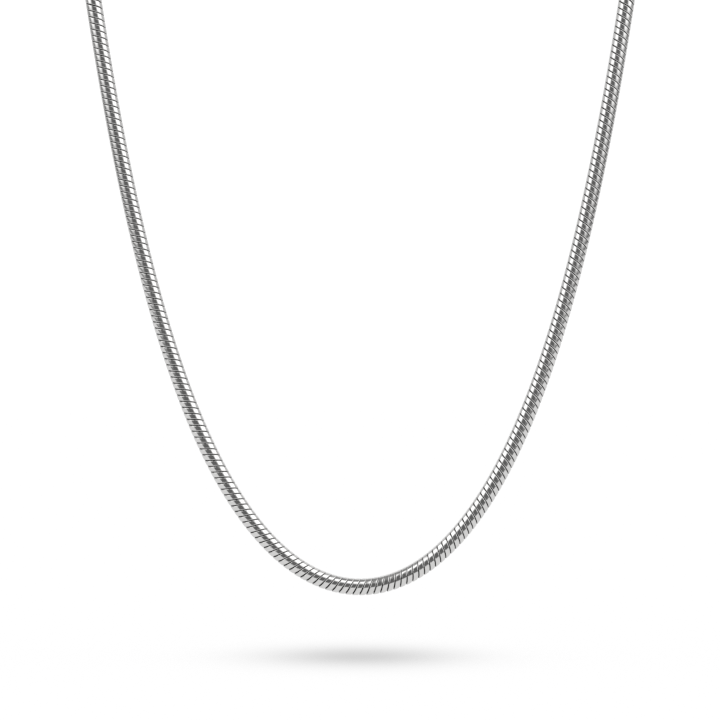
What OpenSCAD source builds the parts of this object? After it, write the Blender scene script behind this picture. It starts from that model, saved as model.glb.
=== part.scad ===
// Round snake chain necklace, closed at the nape by a barrel clasp.
// Millimetres. +Z is up, +X is across the front, and the front faces -Y.
// The origin is the point of the clasp that lies on the back of the neck.

/* [Necklace] */
// Whole length round the centreline, clasp included
necklace_l = 450; // [430:1:480]
// Thickness of the round chain
chain_d = 3.1; // [2:0.1:4]

/* [Front stretch] */
// Width of the loop where the front stretch ends and the neck stretch begins
front_w = 100; // [96:1:104]
// Width scale of the hanging curve: a smaller one hangs to a sharper point
curve_w = 20.6; // [19:0.1:24]
// Lean of the front stretch from upright, in degrees
lean = 6; // [0:1:14]

/* [Neck stretch] */
// Depth from the clasp's centreline forward to where the front stretch ends
neck_depth = 56; // [50:1:62]
// Height of the nape above the point where the front stretch ends
nape_rise = 30; // [22:1:36]
// How far the chain runs on upwards before it bends back over the shoulder
shoulder_reach = 32; // [26:1:38]
// How far the chain runs level on each side of the clasp before it bends forward
nape_reach = 36; // [30:1:42]

/* [Clasp] */
// Length of the clasp, from collar face to collar face
clasp_l = 12; // [10:0.5:16]
// Wall of the collars round the chain's ends
collar_wall = 0.5; // [0.35:0.05:0.8]
// Length of each collar
collar_l = 2; // [1.5:0.1:3]
// How far the barrel swells past its collars at the middle
barrel_swell = 0.35; // [0.2:0.05:0.8]
// Rounding of the collars' outer rims
rim_r = 0.25; // [0.1:0.05:0.3]
// Depth of each blind socket
socket_depth = 3; // [2:0.1:4]
// Clearance round the chain in its socket, and at its end
socket_gap = 0.05; // [0.02:0.01:0.1]

/* [Hidden] */

// Steps along half of the front stretch and half of the neck stretch, and sides of the tube
front_steps = 22;
neck_steps = 14;
sides = 12;
// Spreads the front's steps, so that they are closer at the bottom, where it bends most
step_power = 0.8;
// The hanging curve's height scale is looked for in this range of multiples of curve_w
height_range = [0.5, 3];
halvings = 24;
// Segments of each round part of the clasp
round_fn = 96;

socket_r = chain_d / 2 + socket_gap;
collar_r = socket_r + collar_wall;
barrel_r = collar_r + barrel_swell;
barrel_l = clasp_l - 2 * collar_l;
// The clasp's centreline, behind the nape that its barrel lies on
clasp_y = barrel_r;
// Where the chain's right half leaves the front stretch, and where it ends in its socket
turn = [front_w / 2, clasp_y - neck_depth, -nape_rise];
mouth = [clasp_l / 2, clasp_y, 0];
chain_end = mouth - [socket_depth - socket_gap, 0, 0];

function cosh(v) = (exp(v) + exp(-v)) / 2;
function sinh(v) = (exp(v) - exp(-v)) / 2;
function unit(v) = v / norm(v);

// The front stretch is a hanging curve of height scale h in a plane that leans back
function front_point(x, h) =
    let (drop = h * (cosh(turn[0] / curve_w) - cosh(x / curve_w)))
    [x, turn[1] - drop * tan(lean), turn[2] - drop];
function front_points(h) =
    [for (i = [0:front_steps]) front_point(turn[0] * pow(i / front_steps, step_power), h)];
function front_direction(h) =
    let (slope = h / curve_w * sinh(turn[0] / curve_w))
    unit([1, slope * tan(lean), slope]);

// The neck stretch is one cubic curve from the front stretch to the clasp
function cubic(a, b, c, d, u) =
    pow(1 - u, 3) * a + 3 * pow(1 - u, 2) * u * b + 3 * (1 - u) * pow(u, 2) * c + pow(u, 3) * d;
function neck_points(h) =
    let (shoulder = turn + shoulder_reach * front_direction(h), nape = mouth + [nape_reach, 0, 0])
    [for (i = [1:neck_steps]) cubic(turn, shoulder, nape, mouth, i / neck_steps)];

function right_half(h) = concat(front_points(h), neck_points(h), [chain_end]);

// The height scale that gives the necklace its length is found by halving its range
function path_length(points, i = 1) =
    i == len(points) ? 0 : norm(points[i] - points[i - 1]) + path_length(points, i + 1);
function half_length(h) = path_length(right_half(h)) + chain_end[0];
function find_height(low, high, n) =
    let (middle = (low + high) / 2)
    n == 0 ? middle
    : half_length(middle) > necklace_l / 2 ? find_height(low, middle, n - 1)
    : find_height(middle, high, n - 1);
curve_h = find_height(height_range[0] * curve_w, height_range[1] * curve_w, halvings);

// The whole route runs from the left socket, down and round the front, to the right socket
right = right_half(curve_h);
left = [for (i = [len(right) - 1:-1:1]) [-right[i][0], right[i][1], right[i][2]]];
route = concat(left, right);
last = len(route) - 1;
// A point inside the loop: each ring of the tube is squared up to the direction away from it
heart = [0, turn[1] / 2 + right[0][1] / 2, right[0][2] / 2];

function direction(i) = unit(route[min(i + 1, last)] - route[max(i - 1, 0)]);
function outward(i) =
    let (away = route[i] - heart, along = direction(i))
    unit(away - (away * along) * along);
function ring(i) =
    let (out = outward(i), side = cross(direction(i), out))
    [for (k = [0:sides - 1])
        let (turned = 360 * k / sides)
        route[i] + chain_d / 2 * (cos(turned) * out + sin(turned) * side)];

// The chain's outer form: a tube swept along the route, closed at both ends
module snake_chain() {
    points = [for (i = [0:last]) each ring(i)];
    walls = [for (i = [0:last - 1], k = [0:sides - 1])
        let (a = i * sides + k, b = i * sides + (k + 1) % sides)
        each [[a, a + sides, b], [b, a + sides, b + sides]]];
    start_cap = [for (k = [0:sides - 1]) k];
    end_cap = [for (k = [sides - 1:-1:0]) last * sides + k];
    color("silver") polyhedron(points, concat(walls, [start_cap, end_cap]));
}

// Half of the clasp's outline, with the radius along X and the clasp's length along Y
module clasp_outline() {
    bulge_r = (pow(barrel_l / 2, 2) + pow(barrel_swell, 2)) / (2 * barrel_swell);
    intersection() {
        translate([barrel_r - bulge_r, 0]) circle(bulge_r, $fn = 2 * round_fn);
        translate([0, -barrel_l / 2]) square([barrel_r, barrel_l]);
    }
    translate([0, -clasp_l / 2 + rim_r]) square([collar_r, clasp_l - 2 * rim_r]);
    translate([0, -clasp_l / 2]) square([collar_r - rim_r, clasp_l]);
    for (end = [-1, 1])
        translate([collar_r - rim_r, end * (clasp_l / 2 - rim_r)]) circle(rim_r, $fn = round_fn);
}

// The clasp is one plain barrel with a collar and a blind socket at each end
module barrel_clasp() {
    color("gainsboro") translate([0, clasp_y, 0]) rotate([0, 90, 0]) difference() {
        rotate_extrude($fn = round_fn) clasp_outline();
        for (end = [0, 1]) mirror([0, 0, end])
            translate([0, 0, clasp_l / 2 - socket_depth]) cylinder(h = clasp_l, r = socket_r, $fn = round_fn);
    }
}

snake_chain();
barrel_clasp();
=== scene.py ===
"""Looks of a round snake chain necklace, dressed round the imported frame."""
import math

import bpy
import numpy as np
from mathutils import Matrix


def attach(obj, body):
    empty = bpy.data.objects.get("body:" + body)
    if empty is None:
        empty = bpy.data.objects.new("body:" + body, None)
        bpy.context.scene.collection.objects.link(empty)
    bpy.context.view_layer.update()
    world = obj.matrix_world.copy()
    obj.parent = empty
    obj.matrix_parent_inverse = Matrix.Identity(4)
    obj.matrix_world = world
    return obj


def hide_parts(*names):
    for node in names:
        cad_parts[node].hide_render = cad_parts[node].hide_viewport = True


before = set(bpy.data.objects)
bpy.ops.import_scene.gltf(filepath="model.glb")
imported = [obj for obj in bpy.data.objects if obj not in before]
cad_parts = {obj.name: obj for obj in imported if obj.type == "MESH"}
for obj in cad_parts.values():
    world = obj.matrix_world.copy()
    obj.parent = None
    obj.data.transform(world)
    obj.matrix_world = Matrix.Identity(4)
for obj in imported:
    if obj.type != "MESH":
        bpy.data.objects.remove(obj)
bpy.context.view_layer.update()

MM = 0.001

# Sizes of the necklace in millimetres, as in the part's source
NECKLACE_L = 450
CHAIN_D = 3.1
FRONT_W = 100
CURVE_W = 20.6
LEAN = math.radians(6)
NECK_DEPTH = 56
NAPE_RISE = 30
SHOULDER_REACH = 32
NAPE_REACH = 36
CLASP_L = 12
COLLAR_WALL = 0.5
BARREL_SWELL = 0.35
SOCKET_DEPTH = 3
SOCKET_GAP = 0.05

# Steps of the source's own route, which set its length and with it the hanging curve's height
FRONT_STEPS = 22
NECK_STEPS = 14
STEP_POWER = 0.8
HEIGHT_RANGE = (0.5, 3)
HALVINGS = 24

# The plates' route has this many times the source's steps, and is then cut into even ones
FINER = 40
EVEN_STEP = 0.05
# A turn from one step to the next whose square is no larger counts as none
TINY = 1e-18

# Places on the route
CLASP_Y = CHAIN_D / 2 + SOCKET_GAP + COLLAR_WALL + BARREL_SWELL
TURN = np.array([FRONT_W / 2, CLASP_Y - NECK_DEPTH, -NAPE_RISE])
MOUTH = np.array([CLASP_L / 2, CLASP_Y, 0])
CHAIN_END = MOUTH - [SOCKET_DEPTH - SOCKET_GAP, 0, 0]

# Sizes of one plate in millimetres: a domed band with rounded rims, and a flange under the next plate
PITCH = 1.205
BAND_W = 1.079
DOME_TILT = math.radians(1.31)
RIM_R = 0.166
WALL = 0.28
FLANGE_GAP = 0.05
FLANGE_WALL = 0.14
FLANGE_L = 0.40
# Slant of the plates: their lead round a full turn, and how sharply the slant turns back at the sides
LEAD = 4.07
WAVE_SHARPNESS = 0.98
# How far a plate bows along the chain, from its sides to its middle
BOW = 0.053
# Sides round a plate, rows over its dome as shares of the tilt, and rows over a rim in degrees
PLATE_SIDES = 48
DOME_SHARES = (-1, -0.85, 0, 0.85, 1)
RIM_TILTS = (22, 45, 68, 90)
# The pieces that the plates are joined into, from the left socket round the front to the right one
PIECES = ("neck_left_links", "front_left_links", "front_right_links", "neck_right_links")

# Numbers of a Mix node's inputs and output that serve each kind of value
MIX_INPUTS = {"FLOAT": (0, 2, 3), "RGBA": (0, 6, 7)}
MIX_OUTPUT = {"FLOAT": 0, "RGBA": 2}

# Silver: its paler and its duller clouds, and the painted shade of the grooves between the plates
SILVER_DULL = (0.93, 0.925, 0.915, 1)
SILVER_PALE = (0.97, 0.965, 0.955, 1)
GROOVE_PAINTED_SHADE = (0.012, 0.012, 0.011, 1)
# The stored depth at which the painted shade starts on a rim, and at which it is as dark as the groove's
# painted shade
PAINTED_SHADE_FROM = 0.49
PAINTED_SHADE_TO = 0.67
SILVER_ROUGH = (0.05, 0.11)
# Clouds and hair scratches: how often they repeat in a metre, and the scratches' turn in radians,
# the part of their noise that shows, and how rough and deep they are
CLOUD_SCALE = 900
CLOUD_DETAIL = 4
HAIR_SCALES = ((9000, 700, 500), (600, 800, 8000))
HAIR_DETAIL = 2
HAIR_TURN = (0.3, 0.5, 0.9)
HAIR_CUT = (0.6, 0.75)
HAIR_ROUGH = 0.12
HAIR_STRENGTH = 0.15
HAIR_DEPTH = 0.02 * MM

# Clasp: the same silver, turned on a lathe
CLASP_DULL = (0.91, 0.905, 0.895, 1)
CLASP_PALE = (0.96, 0.955, 0.945, 1)
CLASP_CLOUD_SCALE = 400
CLASP_ROUGH = (0.08, 0.2)
TURNED_SCALE = (14000, 120, 120)
TURNED_DETAIL = 3
TURNED_STRENGTH = 0.2
TURNED_DEPTH = 0.01 * MM

# Camera in millimetres: level and straight in front
CAMERA_PLACE = (-0.018, -1259.3, -96.29)
LENS = 320
SENSOR_W = 36
CLIP = (100, 20000)

# Floor in millimetres: a pale light table with a soft round shadow painted under the lowest bend. It
# glows three times its paint besides what it is lit by, so that a paint of about a quarter is white.
FLOOR_Z = -152
FLOOR_REACH = 6000
TABLE_WHITE = 0.2475
TABLE_SHADE = 0.166
TABLE_GLOW = 3
TABLE_ROUGH = 0.9
SHADE_Y = -56
SHADE_SPREAD = (12.2, 29)

# Light of the room on matt things, and the white behind the necklace
ROOM_LIGHT = 1.05

# Studio that the silver mirrors. Light is a share of white. Directions are degrees to the right of the
# camera and above the horizon, or shares of a unit direction. An edge is given as (middle, softness).
MIDDLE = (0, 10)
LAMP_LIGHT = 1.3
LAMP_LOW_LEFT = 1.2
LAMP_LOW = (3.4, 4)
LAMP_END = 81.3
LAMP_END_SOFT = 3
LAMP_LIFT = 17.1
LAMP_LIFTED = (28, 10)
CORNER_LIGHT = 0.503
BACK_LIGHT = 0.722
BACK_FROM = (137, 5)
GAP_LIGHT = 0.109
GAP_TOP_LEFT = 1.8
GAP_TOP_RIGHT = 3.1
GAP_TURN = (0, 5)
GAP_SOFT = 10.1
GAP_SIDES = (115, 12)
SEAM_LIGHT = 0.238
SEAM_NEAR = (74.6, 3)
SEAM_FAR = (119.6, 3)
SEAM_LEFT = (-0.52, 0.1)
SEAM_RIGHT = (0.32, 0.1)
SEAM_LOW = (0.35, 0.15)
SLOT_LIGHT = 0.247
SLOT_X = -0.164
SLOT_HALF = (0.119, 0.05)
SLOT_BACK = (0.15, 0.05)
SLOT_LOW = (15, 3)
SLOT_HIGH = (84, 4)
DARK_LIGHT = 0.113
DARK_LOW_LIGHT = 0.019
DARK_LOW = (-8.4, 8.9)
DARK_CENTRE = (-4.9, -0.5)
DARK_HALF = (39.0, 45.2)
DARK_SOFT = 0.49
DARK_CRISP = 0.36
DARK_CRISP_ABOVE = (10, 10)
FLOOR_LIGHT = 0.663
FLOOR_EDGE_FRONT = -15.0
FLOOR_EDGE_SIDE = -7.1
FLOOR_TURN = (35, 25)
FLOOR_SOFT = 1.6


def unit(v):
    return v / np.linalg.norm(v, axis=-1, keepdims=True)


def front_point(x, h):
    """Point of the hanging curve at x, in its plane that leans back."""
    drop = h * (np.cosh(TURN[0] / CURVE_W) - np.cosh(x / CURVE_W))
    return np.stack([x, TURN[1] - drop * math.tan(LEAN), TURN[2] - drop], axis=-1)


def neck_points(h, u):
    """Points of the neck stretch, one cubic curve from the front stretch to the clasp."""
    slope = h / CURVE_W * math.sinh(TURN[0] / CURVE_W)
    shoulder = TURN + SHOULDER_REACH * unit(np.array([1, slope * math.tan(LEAN), slope]))
    nape = MOUTH + [NAPE_REACH, 0, 0]
    u = u[:, None]
    v = 1 - u
    return v**3 * TURN + 3 * v**2 * u * shoulder + 3 * v * u**2 * nape + u**3 * MOUTH


def right_half(h, front_steps, neck_steps):
    """The right half of the route, from the bottom of the front stretch to its end in the clasp."""
    x = TURN[0] * np.linspace(0, 1, front_steps + 1) ** STEP_POWER
    u = np.arange(1, neck_steps + 1) / neck_steps
    return np.vstack([front_point(x, h), neck_points(h, u), [CHAIN_END]])


def step_lengths(points):
    return np.linalg.norm(np.diff(points, axis=0), axis=1)


def find_height():
    """Height scale of the hanging curve that gives the necklace its length, by halving its range."""
    low, high = (share * CURVE_W for share in HEIGHT_RANGE)
    for _ in range(HALVINGS):
        middle = (low + high) / 2
        half_length = step_lengths(right_half(middle, FRONT_STEPS, NECK_STEPS)).sum() + CHAIN_END[0]
        if half_length > NECKLACE_L / 2:
            high = middle
        else:
            low = middle
    return (low + high) / 2


def even_route():
    """The route's points in even small steps, and how far along it each is from the lowest point."""
    right = right_half(find_height(), FINER * FRONT_STEPS, FINER * NECK_STEPS)
    left = right[:0:-1] * [-1, 1, 1]
    points = np.vstack([left, right])
    away = np.concatenate([[0], np.cumsum(step_lengths(points))])
    away -= away[len(left)]
    half = int(away[-1] / EVEN_STEP)
    even = np.arange(-half, half + 1) * EVEN_STEP
    return even, np.stack([np.interp(even, away, points[:, k]) for k in range(3)], axis=1)


def mirrored(vector, across):
    """The vector mirrored in the plane that stands square to another one, unless that has no length."""
    size = across @ across
    if size > TINY:
        vector = vector - 2 * (across @ vector) / size * across
    return vector


def steady_frames(points, tangents, start, first_normal):
    """A normal for each point that never twists round the route, carried both ways from the start."""
    normals = np.zeros_like(points)
    normals[start] = first_normal
    for step in (1, -1):
        i = start
        while 0 <= i + step < len(points):
            chord = points[i + step] - points[i]
            normal = mirrored(normals[i], chord)
            turn = tangents[i + step] - mirrored(tangents[i], chord)
            normals[i + step] = mirrored(normal, turn)
            i += step
    return normals


def plate_places():
    """Centres, tangents and normals of the plates, evenly spaced from inside one socket to the other."""
    away, route = even_route()
    directions = unit(np.gradient(route, axis=0))
    forward = np.array([0, -math.cos(LEAN), math.sin(LEAN)])
    frames = steady_frames(route, directions, len(away) // 2, forward)
    reach = LEAD / 4 + BAND_W / 2 + FLANGE_L
    last = int((away[-1] - reach) / PITCH)
    where = np.arange(-last, last + 1) * PITCH

    def at_plates(values):
        return np.stack([np.interp(where, away, values[:, k]) for k in range(3)], axis=1)

    tangents = unit(at_plates(directions))
    normals = at_plates(frames)
    normals = unit(normals - (normals * tangents).sum(axis=1, keepdims=True) * tangents)
    return at_plates(route), tangents, normals


def plate_profile():
    """Cross-section of a plate, right round it: rows of (along the chain, radius, tilt) and their depth.

    The depth is 0 on the crest, 1 at the foot of a rim and 1 on all that lies inside the chain.
    """
    square = math.pi / 2
    crest = CHAIN_D / 2
    half = BAND_W / 2
    dome_half = half - RIM_R * (1 - math.sin(DOME_TILT))
    dome_r = dome_half / math.sin(DOME_TILT)
    rim_along = dome_half - RIM_R * math.sin(DOME_TILT)
    rim_up = crest - dome_r * (1 - math.cos(DOME_TILT)) - RIM_R * math.cos(DOME_TILT)
    rim = []
    for tilt in RIM_TILTS:
        angle = math.radians(tilt)
        rim.append((rim_along + RIM_R * math.sin(angle), rim_up + RIM_R * math.cos(angle), angle))
    dome = []
    for share in DOME_SHARES:
        tilt = share * DOME_TILT
        dome.append((dome_r * math.sin(tilt), crest - dome_r * (1 - math.cos(tilt)), tilt))
    outside = [(-along, up, -angle) for along, up, angle in reversed(rim)] + dome + rim
    ceiling = crest - WALL
    flange_top = ceiling - FLANGE_GAP
    flange_low = flange_top - FLANGE_WALL
    inside = [
        (half, flange_top, square / 2),
        (half + FLANGE_L, flange_top, square / 2),
        (half + FLANGE_L, flange_low, 3 * square / 2),
        (half - WALL, flange_low, -3 * square / 2),
        (half - WALL, ceiling, -3 * square / 2),
        (-half, ceiling, -3 * square / 2),
    ]
    depth = [abs(tilt) / square for _, _, tilt in outside] + [1] * len(inside)
    return np.array(outside + inside), np.array(depth)


def plate_wave(theta):
    """How far along the chain a plate lies at each angle round it, and how fast that changes."""
    scale = LEAD / (2 * math.pi)
    swing = WAVE_SHARPNESS * np.sin(theta)
    wave = BOW * np.cos(theta) - scale * np.arcsin(swing)
    slope = -BOW * np.sin(theta) - scale * WAVE_SHARPNESS * np.cos(theta) / np.sqrt(1 - swing**2)
    return wave, slope


def plate_surface(profile, centres, tangents, normals):
    """Points of the plates and the ways that they face, by plate, side and row."""
    theta = np.arange(PLATE_SIDES) * 2 * math.pi / PLATE_SIDES
    wave, slope = plate_wave(theta)
    along, radius, tilt = profile.T
    binormals = np.cross(tangents, normals)
    cos = np.cos(theta)[:, None]
    sin = np.sin(theta)[:, None]
    spokes = (cos * normals[:, None] + sin * binormals[:, None])[:, :, None]
    rounds = (cos * binormals[:, None] - sin * normals[:, None])[:, :, None]
    tangents = tangents[:, None, None]
    shift = (wave[:, None] + along)[:, :, None]
    points = centres[:, None, None] + shift * tangents + radius[:, None] * spokes
    # The surface leans by each row's tilt, and the plate's slant turns that lean round the chain
    lean = np.sin(tilt)[:, None]
    lean_round = (-slope[:, None] * np.sin(tilt) / radius)[:, :, None]
    facing = unit(np.cos(tilt)[:, None] * spokes + lean_round * rounds + lean * tangents)
    return points, facing


def plate_faces(count, rows):
    """Four-sided faces of this many plates, each closed round the chain and round its rows."""
    side, row = np.meshgrid(np.arange(PLATE_SIDES), np.arange(rows), indexing="ij")
    next_side = (side + 1) % PLATE_SIDES
    next_row = (row + 1) % rows
    corners = ((side, row), (next_side, row), (next_side, next_row), (side, next_row))
    one = np.stack([s * rows + r for s, r in corners], axis=-1).reshape(-1, 4)
    firsts = np.arange(count)[:, None, None] * PLATE_SIDES * rows
    return (firsts + one).reshape(-1, 4)


def chain_piece(name, centres, tangents, normals):
    """One joined mesh of the plates at these centres, each a rigid closed ring."""
    profile, depth = plate_profile()
    points, facing = plate_surface(profile, centres, tangents, normals)
    faces = plate_faces(len(centres), len(profile))
    mesh = bpy.data.meshes.new(name)
    mesh.vertices.add(points.size // 3)
    mesh.vertices.foreach_set("co", (points * MM).astype(np.float32).ravel())
    mesh.loops.add(faces.size)
    mesh.loops.foreach_set("vertex_index", faces.astype(np.int32).ravel())
    mesh.polygons.add(len(faces))
    mesh.polygons.foreach_set("loop_start", np.arange(0, faces.size, 4, dtype=np.int32))
    mesh.update(calc_edges=True)
    mesh.polygons.foreach_set("use_smooth", np.ones(len(faces), bool))
    stored = mesh.attributes.new("depth", "FLOAT", "POINT")
    stored.data.foreach_set("value", np.tile(depth, PLATE_SIDES * len(centres)).astype(np.float32))
    mesh.validate()
    mesh.normals_split_custom_set_from_vertices(facing.reshape(-1, 3).astype(np.float32))
    piece = bpy.data.objects.new(name, mesh)
    bpy.context.scene.collection.objects.link(piece)
    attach(piece, "root")
    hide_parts("snake_chain")
    return piece


class Nodes:
    """Builds a node tree: most methods add nodes and return the output of the last."""

    def __init__(self, tree):
        self.tree = tree

    def put(self, socket, value):
        """Give the socket another node's output, or a plain value."""
        if isinstance(value, bpy.types.NodeSocket):
            self.tree.links.new(value, socket)
        else:
            socket.default_value = value

    def add(self, kind):
        return self.tree.nodes.new(kind)

    def math(self, operation, *values):
        made = self.add("ShaderNodeMath")
        made.operation = operation
        for socket, value in zip(made.inputs, values):
            self.put(socket, value)
        return made.outputs[0]

    def product(self, *values):
        result = values[0]
        for value in values[1:]:
            result = self.math("MULTIPLY", result, value)
        return result

    def ranged(self, value, come_from, go_to, smooth=False):
        """The value moved from one range to another, and kept inside it."""
        made = self.add("ShaderNodeMapRange")
        if smooth:
            made.interpolation_type = "SMOOTHSTEP"
        self.put(made.inputs["Value"], value)
        made.inputs["From Min"].default_value, made.inputs["From Max"].default_value = come_from
        made.inputs["To Min"].default_value, made.inputs["To Max"].default_value = go_to
        return made.outputs["Result"]

    def past(self, value, edge, softness):
        """Share that rises smoothly from 0 to 1 where the value passes the edge."""
        return self.ranged(value, (edge - softness, edge + softness), (0, 1), smooth=True)

    def short(self, value, edge, softness):
        """Share that falls smoothly from 1 to 0 where the value passes the edge."""
        return self.math("SUBTRACT", 1.0, self.past(value, edge, softness))

    def blend(self, share, first, second, kind="FLOAT"):
        """The first value where the share is 0, and the second where it is 1."""
        made = self.add("ShaderNodeMix")
        made.data_type = kind
        for number, value in zip(MIX_INPUTS[kind], (share, first, second)):
            self.put(made.inputs[number], value)
        return made.outputs[MIX_OUTPUT[kind]]

    def place(self):
        """Where on the object a point lies, in metres."""
        return self.add("ShaderNodeTexCoord").outputs["Object"]

    def scaled(self, place, scale, turn=(0, 0, 0)):
        made = self.add("ShaderNodeMapping")
        self.put(made.inputs["Vector"], place)
        made.inputs["Scale"].default_value = scale
        made.inputs["Rotation"].default_value = turn
        return made.outputs["Vector"]

    def noise(self, place, detail, scale=1):
        made = self.add("ShaderNodeTexNoise")
        self.put(made.inputs["Vector"], place)
        made.inputs["Scale"].default_value = scale
        made.inputs["Detail"].default_value = detail
        return made.outputs["Fac"]

    def bump(self, height, strength, distance, sunk=False):
        """Surface normal where the height stands out of the surface or is sunk into it."""
        made = self.add("ShaderNodeBump")
        made.invert = sunk
        self.put(made.inputs["Height"], height)
        made.inputs["Strength"].default_value = strength
        made.inputs["Distance"].default_value = distance
        return made.outputs["Normal"]


def new_material(name):
    material = bpy.data.materials.new(name)
    material.use_nodes = True
    return material, Nodes(material.node_tree), material.node_tree.nodes["Principled BSDF"].inputs


def polished_silver():
    """Polished silver with hair scratches, and painted shade that darkens it in the grooves between the
    plates.
    """
    material, nodes, look = new_material("polished_silver_plates")
    place = nodes.place()
    cloud = nodes.noise(place, CLOUD_DETAIL, CLOUD_SCALE)
    hairs = []
    for scale in HAIR_SCALES:
        hair = nodes.noise(nodes.scaled(place, scale, HAIR_TURN), HAIR_DETAIL)
        hairs.append(nodes.ranged(hair, HAIR_CUT, (0, 1)))
    scratch = nodes.math("MAXIMUM", *hairs)
    stored = nodes.add("ShaderNodeAttribute")
    stored.attribute_name = "depth"
    # Painted shade: the silver turns near black down the rims into the grooves, where light hardly
    # reaches
    groove_shade = nodes.ranged(stored.outputs["Fac"], (PAINTED_SHADE_FROM, PAINTED_SHADE_TO), (0, 1), smooth=True)
    silver = nodes.blend(cloud, SILVER_DULL, SILVER_PALE, "RGBA")
    nodes.put(look["Base Color"], nodes.blend(groove_shade, silver, GROOVE_PAINTED_SHADE, "RGBA"))
    rough = nodes.ranged(cloud, (0, 1), SILVER_ROUGH)
    nodes.put(look["Roughness"], nodes.math("MULTIPLY_ADD", scratch, HAIR_ROUGH, rough))
    nodes.put(look["Normal"], nodes.bump(scratch, HAIR_STRENGTH, HAIR_DEPTH, sunk=True))
    look["Metallic"].default_value = 1.0
    return material


def turned_silver():
    """Polished silver of the clasp, with the fine rings that turning leaves round it."""
    material, nodes, look = new_material("clasp_turned_silver")
    place = nodes.place()
    rings = nodes.noise(nodes.scaled(place, TURNED_SCALE), TURNED_DETAIL)
    cloud = nodes.noise(place, CLOUD_DETAIL, CLASP_CLOUD_SCALE)
    nodes.put(look["Base Color"], nodes.blend(cloud, CLASP_DULL, CLASP_PALE, "RGBA"))
    nodes.put(look["Roughness"], nodes.ranged(rings, (0, 1), CLASP_ROUGH))
    nodes.put(look["Normal"], nodes.bump(rings, TURNED_STRENGTH, TURNED_DEPTH))
    look["Metallic"].default_value = 1.0
    return material


def light_table():
    """White light table that glows more than it is lit, with a soft round shadow painted under the lowest
    bend.
    """
    material, nodes, look = new_material("pale_floor")
    split = nodes.add("ShaderNodeSeparateXYZ")
    nodes.put(split.inputs[0], nodes.place())
    across = nodes.math("DIVIDE", split.outputs[0], SHADE_SPREAD[0] * MM)
    along = nodes.math("SUBTRACT", split.outputs[1], SHADE_Y * MM)
    along = nodes.math("DIVIDE", along, SHADE_SPREAD[1] * MM)
    away = nodes.math("ADD", nodes.product(across, across), nodes.product(along, along))
    # Painted shadow: a soft round grey in the table's colour under the lowest bend
    shade = nodes.math("EXPONENT", nodes.product(away, -0.5))
    white = (TABLE_WHITE, TABLE_WHITE, TABLE_WHITE, 1)
    grey = (TABLE_SHADE, TABLE_SHADE, TABLE_SHADE, 1)
    paint = nodes.blend(shade, white, grey, "RGBA")
    nodes.put(look["Base Color"], paint)
    nodes.put(look["Emission Color"], paint)
    look["Emission Strength"].default_value = TABLE_GLOW
    look["Roughness"].default_value = TABLE_ROUGH
    look["Specular IOR Level"].default_value = 0
    material.cycles.emission_sampling = "NONE"
    return material


def lamp_walls(nodes, azimuth, height, side):
    """Light of the lamp walls left and right, whose far ends slope back as they rise, and of the rest."""
    end = nodes.math("ADD", nodes.product(nodes.past(height, *LAMP_LIFTED), LAMP_LIFT), LAMP_END)
    lamp = nodes.short(nodes.math("SUBTRACT", side, end), 0, LAMP_END_SOFT)
    low_left = nodes.product(nodes.short(azimuth, *MIDDLE), nodes.short(height, *LAMP_LOW))
    lamp_light = nodes.blend(low_left, LAMP_LIGHT, LAMP_LOW_LEFT)
    behind = nodes.blend(nodes.past(side, *BACK_FROM), CORNER_LIGHT, BACK_LIGHT)
    return nodes.blend(lamp, behind, lamp_light)


def dark_gap(nodes, azimuth, height, side):
    """Share of the dark gap between the walls and the floor."""
    top = nodes.blend(nodes.past(azimuth, *GAP_TURN), GAP_TOP_LEFT, GAP_TOP_RIGHT)
    below = nodes.short(nodes.math("SUBTRACT", height, top), 0, GAP_SOFT)
    return nodes.product(below, nodes.short(side, *GAP_SIDES))


def dark_seam(nodes, x, z, toward):
    """Share of the dark seam overhead, by how many degrees it lies away from the camera."""
    away = nodes.math("DEGREES", nodes.math("ARCCOSINE", toward))
    near = nodes.past(away, *SEAM_NEAR)
    far = nodes.short(away, *SEAM_FAR)
    right = nodes.short(x, *SEAM_RIGHT)
    left = nodes.past(x, *SEAM_LEFT)
    low = nodes.past(z, *SEAM_LOW)
    return nodes.product(near, far, right, left, low)


def dark_slot(nodes, x, y, height):
    """Share of the dark slot between the lamp walls, which runs on above the camera."""
    off = nodes.math("ABSOLUTE", nodes.math("SUBTRACT", x, SLOT_X))
    across = nodes.short(off, *SLOT_HALF)
    front = nodes.short(y, *SLOT_BACK)
    low = nodes.past(height, *SLOT_LOW)
    high = nodes.short(height, *SLOT_HIGH)
    return nodes.product(across, front, low, high)


def dark_place(nodes, azimuth, height):
    """Share and light of the dark place round the camera, whose edge is crisper above."""
    across = nodes.math("DIVIDE", nodes.math("SUBTRACT", azimuth, DARK_CENTRE[0]), DARK_HALF[0])
    up = nodes.math("DIVIDE", nodes.math("SUBTRACT", height, DARK_CENTRE[1]), DARK_HALF[1])
    off = nodes.math("SQRT", nodes.math("ADD", nodes.product(across, across), nodes.product(up, up)))
    soft = nodes.blend(nodes.past(height, *DARK_CRISP_ABOVE), DARK_SOFT, DARK_CRISP)
    inside = nodes.math("SUBTRACT", nodes.math("ADD", soft, 1.0), off)
    inside = nodes.math("DIVIDE", inside, nodes.math("MULTIPLY", soft, 2.0))
    light = nodes.math("ADD", nodes.product(nodes.short(height, *DARK_LOW), DARK_LOW_LIGHT), DARK_LIGHT)
    return nodes.ranged(inside, (0, 1), (0, 1), smooth=True), light


def pale_ground(nodes, height, side):
    """Share of the pale floor, whose far edge is lower in front than at the sides."""
    edge = nodes.blend(nodes.past(side, *FLOOR_TURN), FLOOR_EDGE_FRONT, FLOOR_EDGE_SIDE)
    return nodes.short(nodes.math("SUBTRACT", height, edge), 0, FLOOR_SOFT)


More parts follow.
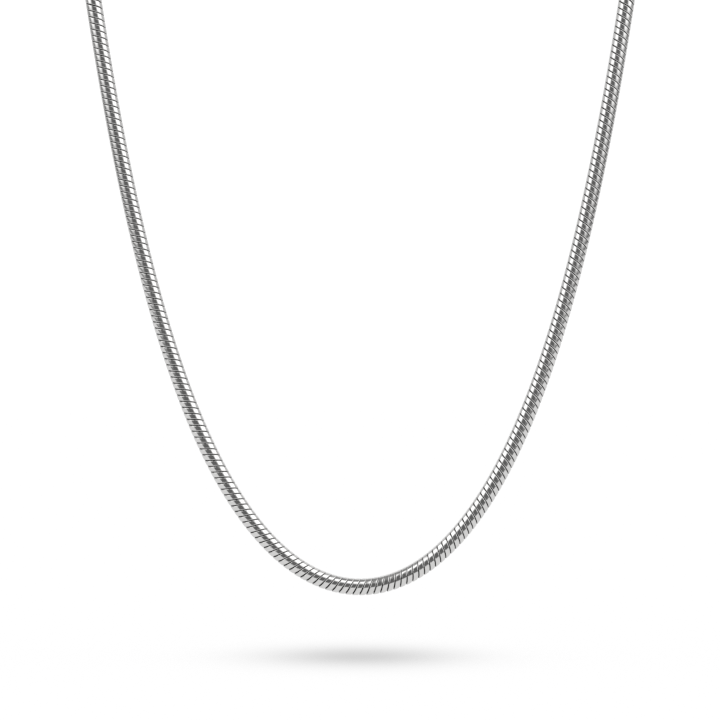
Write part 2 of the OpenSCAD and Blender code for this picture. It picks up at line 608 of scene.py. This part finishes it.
def studio_light(nodes, x, y, z):
    """Light that the silver mirrors from each direction."""
    toward = nodes.math("MULTIPLY", y, -1.0)
    azimuth = nodes.math("DEGREES", nodes.math("ARCTAN2", x, toward))
    height = nodes.math("DEGREES", nodes.math("ARCSINE", z))
    side = nodes.math("ABSOLUTE", azimuth)
    light = lamp_walls(nodes, azimuth, height, side)
    light = nodes.blend(dark_gap(nodes, azimuth, height, side), light, GAP_LIGHT)
    light = nodes.blend(dark_seam(nodes, x, z, toward), light, SEAM_LIGHT)
    light = nodes.blend(dark_slot(nodes, x, y, height), light, SLOT_LIGHT)
    inside, dark = dark_place(nodes, azimuth, height)
    light = nodes.blend(inside, light, dark)
    return nodes.blend(pale_ground(nodes, height, side), light, FLOOR_LIGHT)


def build_world():
    """The studio: what silver mirrors, and an even white for all else."""
    world = bpy.data.worlds.new("studio")
    world.use_nodes = True
    world.node_tree.nodes.clear()
    nodes = Nodes(world.node_tree)
    split = nodes.add("ShaderNodeSeparateXYZ")
    nodes.put(split.inputs[0], nodes.add("ShaderNodeTexCoord").outputs["Generated"])
    mirrors = nodes.add("ShaderNodeLightPath").outputs["Is Glossy Ray"]
    background = nodes.add("ShaderNodeBackground")
    background.inputs["Color"].default_value = (1, 1, 1, 1)
    strength = nodes.blend(mirrors, ROOM_LIGHT, studio_light(nodes, *split.outputs))
    nodes.put(background.inputs["Strength"], strength)
    nodes.put(nodes.add("ShaderNodeOutputWorld").inputs["Surface"], background.outputs[0])
    # The surfaces' own rays find such an even world better than samples of it, which leave grain
    world.cycles.sampling_method = "NONE"
    bpy.context.scene.world = world


def add_floor():
    corners = ((-1, -1), (1, -1), (1, 1), (-1, 1))
    reach = FLOOR_REACH * MM
    mesh = bpy.data.meshes.new("floor")
    mesh.from_pydata([(x * reach, y * reach, FLOOR_Z * MM) for x, y in corners], [], [(0, 1, 2, 3)])
    floor = bpy.data.objects.new("floor", mesh)
    bpy.context.scene.collection.objects.link(floor)
    # The silver mirrors the studio's own floor instead
    floor.visible_glossy = False
    mesh.materials.append(light_table())


def add_camera():
    data = bpy.data.cameras.new("camera")
    data.sensor_width = SENSOR_W
    data.lens = LENS
    data.clip_start, data.clip_end = (distance * MM for distance in CLIP)
    camera = bpy.data.objects.new("camera", data)
    camera.location = [value * MM for value in CAMERA_PLACE]
    camera.rotation_euler = (math.radians(90), 0, 0)
    bpy.context.scene.collection.objects.link(camera)
    bpy.context.scene.camera = camera


# Chain
silver = polished_silver()
places = [np.array_split(values, len(PIECES)) for values in plate_places()]
for name, centres, tangents, normals in zip(PIECES, *places):
    piece = chain_piece(name, centres, tangents, normals)
    piece.data.materials.append(silver)
    print(name, len(centres), "plates", len(piece.data.polygons) * 2, "triangles")

# Clasp
clasp_material = turned_silver()
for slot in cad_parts["barrel_clasp"].material_slots:
    slot.material = clasp_material

# Studio
add_floor()
build_world()
add_camera()
bpy.context.scene.view_settings.view_transform = "Standard"
# The plates' fine grooves stay sharp only without the denoiser
bpy.context.scene.cycles.use_denoising = False
